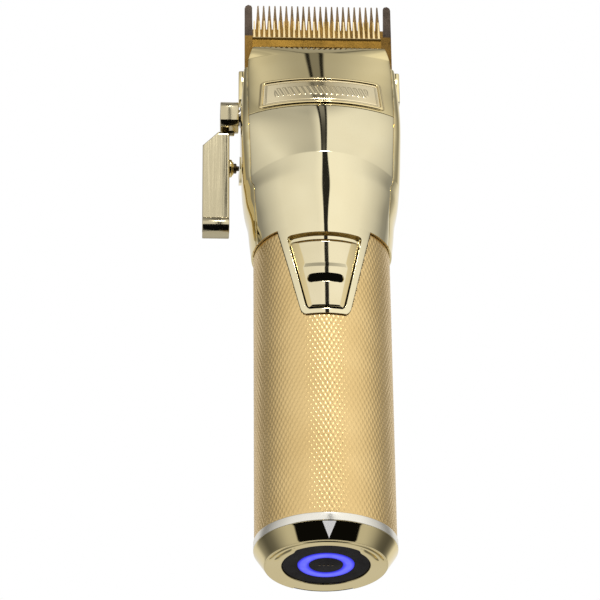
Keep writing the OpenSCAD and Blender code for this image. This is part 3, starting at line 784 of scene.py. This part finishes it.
def make_detent_rail():
    """The arc that the detent pin runs over, with a dimple for each taper setting."""
    turn = np.linspace(-9, 53, 190)[:, None]
    r = np.linspace(DETENT_R - 2.4, DETENT_R + 2.4, 26)[None, :]
    y, z = r * np.sin(np.radians(turn)), PIVOT_Z - r * np.cos(np.radians(turn))
    x = np.full_like(y, -24.0)
    for stop in DETENT_STOPS:
        at = math.radians(stop)
        gap = np.hypot(y - DETENT_R * math.sin(at), z - PIVOT_Z + DETENT_R * math.cos(at))
        x = x + 0.4 * (1 - smooth(gap, 0.5, 1.0))
    rows, cols = y.shape
    size = rows * cols
    points = np.concatenate([points_at(x, y, z).reshape(-1, 3), points_at(-21.4, y, z).reshape(-1, 3)])
    face = grid_faces(rows, cols)
    loop = list(range(cols)) + [i * cols + cols - 1 for i in range(1, rows)]
    loop += [(rows - 1) * cols + j for j in range(cols - 2, -1, -1)]
    loop += [i * cols for i in range(rows - 2, 0, -1)]
    faces = face + [tuple(size + v for v in reversed(f)) for f in face]
    faces += [(a, size + a, size + b, b) for a, b in zip(loop, loop[1:] + loop[:1])]
    obj = new_mesh("rail", points, faces)
    outward(obj)
    return settle(obj, 40)


# The opening in the rear housing for the blade: its half width and where it starts
OPEN_HALF, OPEN_Z = 20.9, 150.4


def rear_turns(z):
    """Angles round each section, from the front seam past both edges of the opening to the other seam."""
    seam_at = on_front(seam(z) + SEAM_GAP, z)
    seam_turn = np.degrees(np.arctan2(seam_at[:, 1], seam_at[:, 0]))
    open_turn = []
    for h in z:
        a, b, n = half(h), rear(h), rear_square(h)
        u = min(OPEN_HALF / a, 0.97) if h >= OPEN_Z else OPEN_HALF / half(OPEN_Z)
        open_turn.append(math.degrees(math.atan2(b * (1 - u**n) ** (1 / n), a * u)))
    s, o = seam_turn[:, None], np.array(open_turn)[:, None]
    side = np.linspace(0, 1, 31)[None, :]
    middle = np.linspace(0, 1, 91)[None, :-1]
    return np.concatenate([s * (1 - side[:, :-1]) + o * side[:, :-1], o * (1 - middle) + (180 - o) * middle,
                           (180 - o) * (1 - side) + (180 - s) * side], 1)


def make_rear_housing():
    """The housing's shell with its holes, the rail for the detent, a rib on each cheek and two bosses."""
    z = heights(COVER_Z, 99.2, CREASE - 0.3, CREASE, CREASE + 0.3, OPEN_Z, OPEN_Z + 0.5, CHEEK_TOP - 0.4,
                CHEEK_TOP, step=0.9)
    turn = rear_turns(z)
    keep = np.ones((len(z) - 1, turn.shape[1] - 1), bool)
    keep[np.ix_((z[:-1] + z[1:]) / 2 > OPEN_Z, np.arange(30, 120))] = False
    obj = grid("rear_housing", on_side(turn, z[:, None]), keep)
    thick(obj, WALL)
    screw_hole = [(0, 17), (1.3, 17), (1.3, 18.9), (2.5, 18.9), (2.5, 24), (0, 24)]
    cutters = [lathe("cut", screw_hole, axis="y", at=(7 * side, 0, 110), segments=48) for side in (-1, 1)]
    cutters.append(lathe("cut", [(0, -30), (3.15, -30), (3.15, -19), (0, -19)], axis="x",
                         at=(0, 0, PIVOT_Z), segments=64))
    for c in cutters:
        settle(c)
        modifier(obj, "BOOLEAN", operation="DIFFERENCE", object=c, solver="EXACT")
    bevelled(obj, 0.2, segments=2)
    settle(obj)
    for c in cutters:
        bpy.data.objects.remove(c)
    ribs = [box_shape("rib", (side * 23.25 - 1.05, -2.2, 152.5), (side * 23.25 + 1.05, 2.2, CHEEK_TOP), 0.45)
            for side in (-1, 1)]
    boss = rounded([(1.25, 4.6), (2.8, 4.6), (2.8, 12.6), (1.25, 12.6)], 0.2)
    bosses = [settle(lathe("boss", boss, axis="y", at=(9 * side, 0, 142.5), segments=48)) for side in (-1, 1)]
    piece(joined(obj, make_detent_rail(), *ribs, *bosses), "casing", "gold_housing", "rear_housing")


# ----- Badge -----

def frame_loop(low, high, wide_low, wide_high, radius, count):
    """Points round a rounded, slightly tapered rectangle in X and Z, evenly spread by side."""
    corners = [(-wide_low, low), (wide_low, low), (wide_high, high), (-wide_high, high)]
    pts = []
    for i in range(4):
        p = np.array(corners[i], float)
        a, b = np.array(corners[i - 1], float) - p, np.array(corners[(i + 1) % 4], float) - p
        a, b = p + a / np.linalg.norm(a) * radius, p + b / np.linalg.norm(b) * radius
        for t in np.linspace(0, 1, 9):
            pts.append((1 - t) ** 2 * a + 2 * t * (1 - t) * p + t * t * b)
        q = np.array(corners[(i + 1) % 4], float)
        end = q + (p - q) / np.linalg.norm(p - q) * radius
        for t in np.linspace(0, 1, count[i % 2] + 1)[1:-1]:
            pts.append(b * (1 - t) + end * t)
    return np.array(pts)


BADGE_LOW, BADGE_TOP, BADGE_MIDDLE = 143.5, 153.4, 148.4


def make_badge_frame():
    """A raised rim that follows the nose: a rounded profile between two tapered rectangles."""
    counts = (70, 12)
    outer = frame_loop(142.3, 154.65, 18.85, 18.0, 1.5, counts)
    inner = frame_loop(BADGE_LOW, BADGE_TOP, 17.5, 16.8, 0.9, counts)
    # Share of the way inwards, and height over the nose
    profile = ((0, 0.02), (0.05, 0.16), (0.14, 0.32), (0.28, 0.46), (0.44, 0.54), (0.6, 0.56), (0.75, 0.52),
               (0.87, 0.42), (0.95, 0.28), (0.99, 0.14), (1, -0.3), (0, -0.3))
    rings = []
    for share, lift in profile:
        p = outer * (1 - share) + inner * share
        rings.append(on_front(p[:, 0], p[:, 1], lift))
    piece(settle(loft("badge_frame", rings), 60), "casing", "pale_gold", "badge_frame")


def make_badge_plate():
    """A plain row of slanted bars in low relief, inside a fine border line."""
    z = heights(BADGE_LOW + 0.05, 143.8, 153.1, BADGE_TOP - 0.05, step=0.16)[:, None]
    wide = straight([[BADGE_LOW, 17.4], [BADGE_TOP, 16.8]])(z)
    x = wide * np.linspace(-1, 1, 220)[None, :]
    up = z - BADGE_MIDDLE
    bar = 1 - smooth(np.abs(((x + 0.35 * up) / 1.62 % 1) - 0.5), 0.2, 0.3)
    inside = (1 - smooth(np.abs(up), 1.75, 2.05)) * (1 - smooth(np.abs(x), 13.6, 14.0))
    rim = np.minimum(np.minimum(wide - np.abs(x), z - BADGE_LOW), BADGE_TOP - z)
    line = smooth(rim, 0.5, 0.65) * (1 - smooth(rim, 0.8, 0.95))
    obj = grid("badge_plate", on_front(x, z, 0.13 + 0.16 * bar * inside - 0.1 * line))
    thick(obj, 0.25)
    piece(settle(obj, 60), "casing", "gold_plate", "badge_plate")


# ----- Power button -----

BUTTON_LOW, BUTTON_TOP, SLOT_Z, SLOT_HALF, SLOT_R = 71.5, 93.7, 80.5, 3.85, 1.3


def make_button():
    """A tapered slide with bevelled edges, a step across it and a slot for the thumb nail."""
    z = np.linspace(BUTTON_LOW, BUTTON_TOP, 190)[:, None]
    wide = straight([[BUTTON_LOW, 4.85], [72.2, 5.2], [92.8, 9.75], [BUTTON_TOP, 9.5]])(z)
    x = wide * np.linspace(-1, 1, 121)[None, :]
    step = 0.36 * np.clip((z - 84.2) / 1.25, 0, 1)
    face = 20.62 + 0.012 * (z - 72) + step - 0.12 * smooth(z, 87, 93)
    # Bevels at the sides, the top and the bottom
    r = np.minimum(face, 20.0 + 0.52 * (wide - np.abs(x)) * 0.97)
    r = np.minimum(r, 20.05 + 0.8 * (BUTTON_TOP - z))
    r = np.minimum(r, 20.25 + 1.2 * (z - BUTTON_LOW))
    # The slot curves upwards at its middle. Its floor slants, so that it is deepest at its lower edge
    slot_z = SLOT_Z + 0.3 * (1 - (x / 5) ** 2)
    away = np.hypot(np.maximum(np.abs(x) - SLOT_HALF, 0), z - slot_z)
    recess = 0.12 + 0.95 * np.clip((slot_z + SLOT_R - z) / (2 * SLOT_R), 0, 1)
    r = r - recess * (1 - smooth(away, 1.22, 1.4))
    obj = grid("power_switch", points_at(x, -np.sqrt(np.maximum(r**2 - x**2, 1)), z))
    thick(obj, 0.6)
    bevelled(obj, 0.06, segments=2, angle=60)
    body = settle(obj, 50)
    stem = box_shape("stem", (-1.6, -19.4, 79), (1.6, -17.2, 85), 0.2)
    piece(joined(body, stem), "switch", "pale_gold", "power_switch")


# ----- Taper lever -----

HUB_R, ARM_OUT, ARM_IN, ARM_HALF, LIP_R = 4.75, -35, -27, 1.6, 2.7
SLANT_Z, SHOULDER_Z, ARM_TOP, ARM_LOW = 136.8, 140.9, 142.6, PIVOT_Z - 41.4


def lever_hub():
    """A short thick drum across the body, flattened at the front and bored for the pivot."""
    turn = np.radians(np.linspace(0, 360, 181)[:-1])
    circle = np.column_stack([np.cos(turn), np.sin(turn)])
    drum = HUB_R * circle
    # The lower front swells into a rounded corner between the flat front and the round underside
    flat, corner, r = -4.4, -2.35, 2.3
    for i, way in enumerate(circle):
        reach = HUB_R
        for k in np.linspace(HUB_R, 5.3, 23):
            y, z = k * way
            past = y < flat + r and z < corner and math.hypot(y - flat - r, z - corner) > r
            if flat < y < 0 and -4.7 < z < 0 and not past:
                reach = k
        drum[i] = reach * way
    drum[:, 0] = np.maximum(drum[:, 0], flat - 0.12 + 0.02 * (drum[:, 1] - 1) ** 2)
    rings = [np.column_stack([np.full(180, x), scale * shape + (0, PIVOT_Z)])
             for x, shape, scale in ((-29.5, drum, 1.0), (-24.6, drum, 1.0), (-24.4, drum, 0.98),
                                     (-24.3, drum, 0.93), (-24.3, circle, 2.5), (-29.8, circle, 2.5),
                                     (-29.8, drum, 0.95), (-29.72, drum, 0.985))]
    return settle(loft("taper_lever", rings))


def lever_arm(low, high):
    """The arm's section swept upwards. Its front turns a little at the inner edge, its top is slanted."""
    rings = []
    r = 0.4
    arc = np.radians(np.linspace(0, 90, 5))
    for z in heights(low, SLANT_Z, SHOULDER_Z, high):
        left = ARM_OUT + max(0, z - SLANT_Z) * 5.6 / 5.8
        x = np.linspace(left + r, ARM_IN - r, 26)
        y = -ARM_HALF - 0.006 * (x + 31) + 0.0036 * np.maximum(0, x + 29.9) ** 3
        y = y + 1.25 * max(0, z - SHOULDER_Z) * smooth(x, -30.0, -29.6)
        section = list(zip(x[:-1], y[:-1]))
        for k, (side, face) in enumerate(((ARM_IN - r, y[-1] + r), (ARM_IN - r, ARM_HALF - r),
                                          (left + r, ARM_HALF - r), (left + r, y[0] + r))):
            turn = arc + (k - 1) * math.pi / 2
            section += list(zip(side + r * np.cos(turn), face + r * np.sin(turn)))
        rings.append(np.column_stack([section[:-1], np.full(len(section) - 1, z)]))
    obj = loft("arm", rings, closed=False, caps=True)
    bevelled(obj, 0.2, angle=50)
    return settle(obj)


def lever_neck():
    """The web between the arm and the hub."""
    obj = extruded("neck", [(-29.2, 141.9), (-29.2, 146.5), (-24.5, 146.5), (-25.6, 141.9)], 0.4, ARM_HALF)
    bevelled(obj, 0.3)
    return settle(obj)


def lever_lip():
    """The rounded thumb rest across the arm's lower end, a hair inside the arm's faces."""
    z = ARM_LOW + LIP_R
    back, hair = ARM_HALF - 0.04, 0.04
    turn = np.radians(np.linspace(85, 275, 22))
    rod = [(-1.2 + LIP_R * math.cos(t), z + LIP_R * math.sin(t)) for t in turn]
    obj = extruded("lip", rod + [(back, z - LIP_R), (back, z + LIP_R)], ARM_OUT + hair, ARM_IN - hair,
                   plane="yz")
    bevelled(obj, 0.25, angle=50)
    return settle(obj)


def make_lever():
    """The lever, and the bush and the spring pin that it carries over the detent rail."""
    arm = lever_arm(ARM_LOW + 2.2, ARM_TOP)
    piece(joined(lever_hub(), arm, lever_neck(), lever_lip()), "lever", "pale_gold", "taper_lever")
    at = (0, 0, PIVOT_Z - DETENT_R)
    bush = lathe("detent_bush", rounded([(1.55, -27), (2.7, -27, 0.1), (2.7, -26.35, 0.3), (2.0, -26.1, 0.2),
                                         (1.95, -25.8, 0.2), (1.55, -25.8)], 0.1), "x", at, 64)
    piece(settle(bush), "lever", "gold_housing", "detent_bush")
    pin = lathe("detent_pin", rounded([(0, -30, 0), (1.5, -30), (1.5, -24.9, 0.35), (0.75, -24.85, 0.1),
                                       (0.75, -24.12, 0.3), (0, -24.12, 0)], 0.15), "x", at, 64)
    piece(settle(pin), "detent", "contact_gold", "detent_pin")


def make_pivot():
    """The pivot's shaft, with the cam pin off its middle that moves the cutter."""
    throw, start = 2.2, math.radians(157.5)
    shaft = lathe("lever_pivot", rounded([(0, -29.6, 0), (2.45, -29.6, 0.3), (2.45, -18.9), (0, -18.9, 0)],
                                         0.15), "x", (0, 0, PIVOT_Z), 64)
    cam = lathe("cam", rounded([(0, -19, 0), (1, -19), (1, -15.6, 0.2), (0, -15.6, 0)], 0.1), "x",
                (0, throw * math.cos(start), PIVOT_Z + throw * math.sin(start)), 40)
    piece(joined(settle(shaft), settle(cam)), "lever", "screw_steel", "lever_pivot")


# ----- Frame nodes that keep their CAD shape -----

def dress_nodes():
    """Every CAD node that still shows gets its slot's finish, and fine edges where they catch the light."""
    slot_of = {s["node"]: s["material_slot"] for s in frame["record"]["subparts"]}
    for name, obj in nodes.items():
        for slot in obj.material_slots:
            slot.material = FINISHES[slot_of[name]]
    for name, width in (("still_blade", 0.05), ("cutter_blade", 0.1), ("blade_frame", 0.15),
                        ("blade_screws", 0.12)):
        bevelled(nodes[name], width * MM, segments=2)


make_end_cap()
make_index_mark()
make_dock()
make_trim_ring()
make_sleeve()
make_front_cover()
make_nose_cover()
make_rear_housing()
make_badge_frame()
make_badge_plate()
make_button()
make_lever()
make_pivot()
dress_nodes()


# ----- Stage -----

def make_floor():
    """A pale floor. From below it isn't there, because the photograph looks up at the base."""
    size, cells = 1.6, 24
    side = np.linspace(-size, size, cells + 1)
    floor = grid("floor", points_at(side[None, :], side[:, None], -0.0004))
    mat = bpy.data.materials.new("floor_paint")
    t = Tree(mat, "ShaderNodeOutputMaterial")
    tone = t.mix(t.noise(t.place(), 6, 3), (0.84, 0.84, 0.835), (0.88, 0.88, 0.875))
    paint = t.add("ShaderNodeBsdfPrincipled", Base_Color=tone, Roughness=0.7)
    clear = t.add("ShaderNodeBsdfTransparent")
    t.either(t.add("ShaderNodeNewGeometry").outputs["Backfacing"], paint, clear)
    floor.data.materials.append(mat)
    floor.visible_diffuse = floor.visible_glossy = floor.visible_shadow = False
    floor.visible_transmission = False


GAP_TURN = math.radians(5.0)


def make_world():
    """A soft studio: two large light walls with a narrow gap between them, a pale floor, a dim room."""
    world = bpy.data.worlds.new("studio")
    bpy.context.scene.world = world
    t = Tree(world, "ShaderNodeOutputWorld")
    way = t.add("ShaderNodeTexCoord").outputs["Generated"]
    x, z, f = t.along(way, "X"), t.along(way, "Z"), t.times(t.along(way, "Y"), -1.0)
    flat = t.math("SQRT", t.math("MAXIMUM", t.less(1.0, t.times(z, z)), 0.0001))
    facing = t.math("DIVIDE", f, flat)
    # Brightness of the walls by direction, from behind the object round to the front
    walls = t.add("ShaderNodeValToRGB", Fac=t.ramp(facing, -1.0, 1.0, kind="LINEAR"))
    stops = ((0.0, 0.85), (0.06, 0.85), (0.14, 0.78), (0.2, 0.5), (0.27, 0.27), (0.36, 0.32), (0.52, 0.6),
             (0.76, 0.92), (0.95, 1.02))
    ramp = walls.color_ramp
    while len(ramp.elements) < len(stops):
        ramp.elements.new(0.5)
    for element, (at, v) in zip(ramp.elements, stops):
        element.position = at
        element.color = (v, v, v, 1)
    # High up the walls are dimmer, more so on the left
    left = t.times(t.ramp(x, 0.03, -0.12), t.ramp(z, 0.93, 0.84))
    shade = t.blend(t.ramp(z, 0.5, 0.8), 1.0, t.less(0.88, t.times(left, 0.32)))
    shade = t.times(shade, t.ramp(x, -0.12, 0.1, 0.93, 1.06))
    wall = t.times(walls.outputs["Color"], shade)
    # The gap between the light walls, in front of the object
    across = t.math("ABSOLUTE", t.less(t.times(x, math.cos(GAP_TURN)), t.times(f, math.sin(GAP_TURN))))
    in_front = t.ramp(f, 0.0, 0.05)
    overhead = t.times(t.ramp(z, 0.78, 0.95), t.ramp(across, 0.45, 0.06))
    wall = t.times(wall, t.less(1.0, t.times(overhead, 0.5)))
    core = t.times(t.ramp(across, 0.03, 0.02), t.ramp(z, 0.68, 0.9))
    above = t.blend(t.times(t.ramp(across, 0.056, 0.04), in_front), wall, t.plus(0.02, t.times(core, 0.22)))
    # Below the horizon: the lit floor behind, the dark room in front
    floor = t.plus(t.ramp(facing, -0.85, -0.4, 0.66, 0.17), t.ramp(facing, -0.3, 0.4, 0.0, 0.42))
    floor = t.times(floor, t.ramp(z, -0.2, -0.42, 0.6, 1.0))
    below = t.blend(t.ramp(facing, 0.5, 0.56), floor, 0.004)
    glow = t.blend(t.ramp(z, -0.12, 0.02), below, above)
    # A low lamp strip in the gap, which the crease of the cover catches
    band = t.times(t.ramp(z, 0.60, 0.625), t.ramp(z, 0.695, 0.67))
    band = t.times(band, t.times(t.ramp(across, 0.17, 0.08), in_front))
    glow = t.plus(glow, t.times(band, 1.6))
    light = t.add("ShaderNodeBackground", Strength=glow, Color=(1.0, 0.995, 0.985, 1))
    seen = t.add("ShaderNodeBackground", Color=(1, 1, 1, 1))
    t.either(t.add("ShaderNodeLightPath").outputs["Is Camera Ray"], light, seen)


def heading(turn, rise):
    """A direction, turned from +Y towards +X and raised above the floor."""
    turn, rise = math.radians(turn), math.radians(rise)
    return Vector((math.sin(turn) * math.cos(rise), math.cos(turn) * math.cos(rise), math.sin(rise)))


def make_light():
    """A soft strip high in front, 3 m from the middle of the object."""
    away = heading(175, 41)
    lamp = bpy.data.lights.new("front_strip", "AREA")
    lamp.shape = "RECTANGLE"
    lamp.size, lamp.size_y, lamp.energy = 0.5, 0.16, 8
    obj = bpy.data.objects.new("front_strip", lamp)
    bpy.context.scene.collection.objects.link(obj)
    obj.location = Vector((0, 0, 0.11)) + away * 3
    obj.rotation_euler = away.to_track_quat("Z", "Y").to_euler()
    obj.visible_camera = False


LENS, SENSOR = 186, 36
CAM_AT = (-0.0429, -0.7814, -0.3613)
CAM_YAW, CAM_RISE, CAM_ROLL = 2.674, 29.7, -0.63


def make_camera():
    """Below the object and in front of it, looking up along its body."""
    camera = bpy.data.objects.new("camera", bpy.data.cameras.new("camera"))
    bpy.context.scene.collection.objects.link(camera)
    bpy.context.scene.camera = camera
    camera.data.lens, camera.data.sensor_width = LENS, SENSOR
    camera.data.clip_start, camera.data.clip_end = 0.05, 20
    look, right, roll = heading(CAM_YAW, CAM_RISE), heading(CAM_YAW + 90, 0), math.radians(CAM_ROLL)
    up = right.cross(look)
    right, up = right * math.cos(roll) + up * math.sin(roll), up * math.cos(roll) - right * math.sin(roll)
    camera.matrix_world = Matrix.Translation(Vector(CAM_AT)) @ Matrix(
        (right, up, -look)).transposed().to_4x4()


make_floor()
make_world()
make_camera()
make_light()
bpy.context.scene.view_settings.view_transform = "Standard"
bpy.context.scene.view_settings.look = "None"
